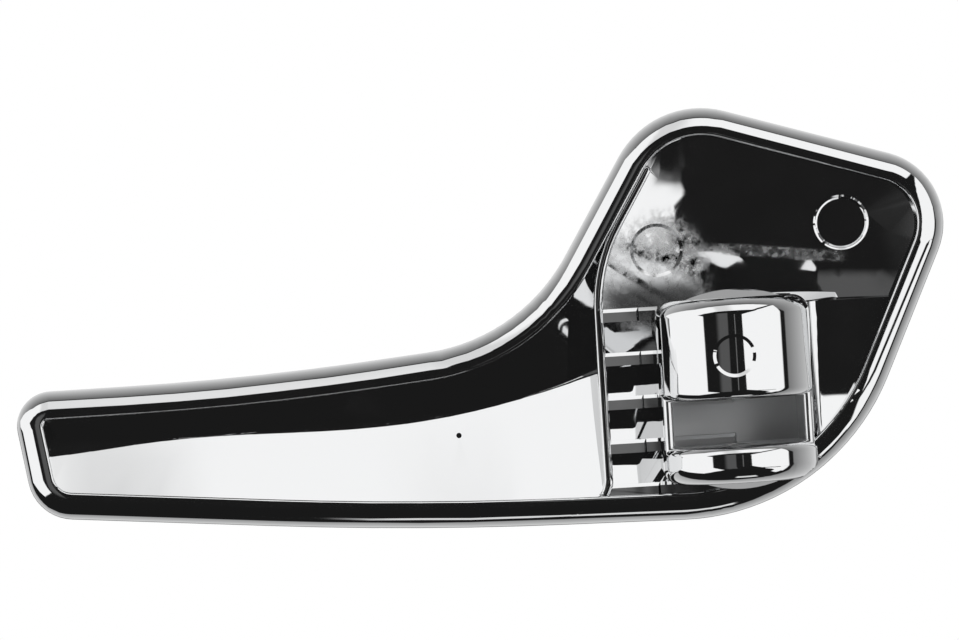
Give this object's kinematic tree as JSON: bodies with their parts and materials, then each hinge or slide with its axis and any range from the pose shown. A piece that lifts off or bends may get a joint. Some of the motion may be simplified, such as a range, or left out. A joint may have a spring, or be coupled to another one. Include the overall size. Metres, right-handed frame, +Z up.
{
  "type": "car interior door lever",
  "caption": "Curved door release lever with a long channelled grip, a hollow rimmed head and a half-round hinge block with a pivot bore.",
  "frame": {"origin": "on the pivot bore's axis, inside the hinge block", "axes": "+Z up along the pivot bore, +X away from the grip's tip, +Y towards the cabin; the open side faces -Y"},
  "size_m": [0.1223, 0.0261, 0.0535],
  "materials": {
    "plating": "bright decorative chrome plating on moulded plastic"
  },
  "bodies": {
    "root": {"lever": "plating"}
  },
  "joints": []
}
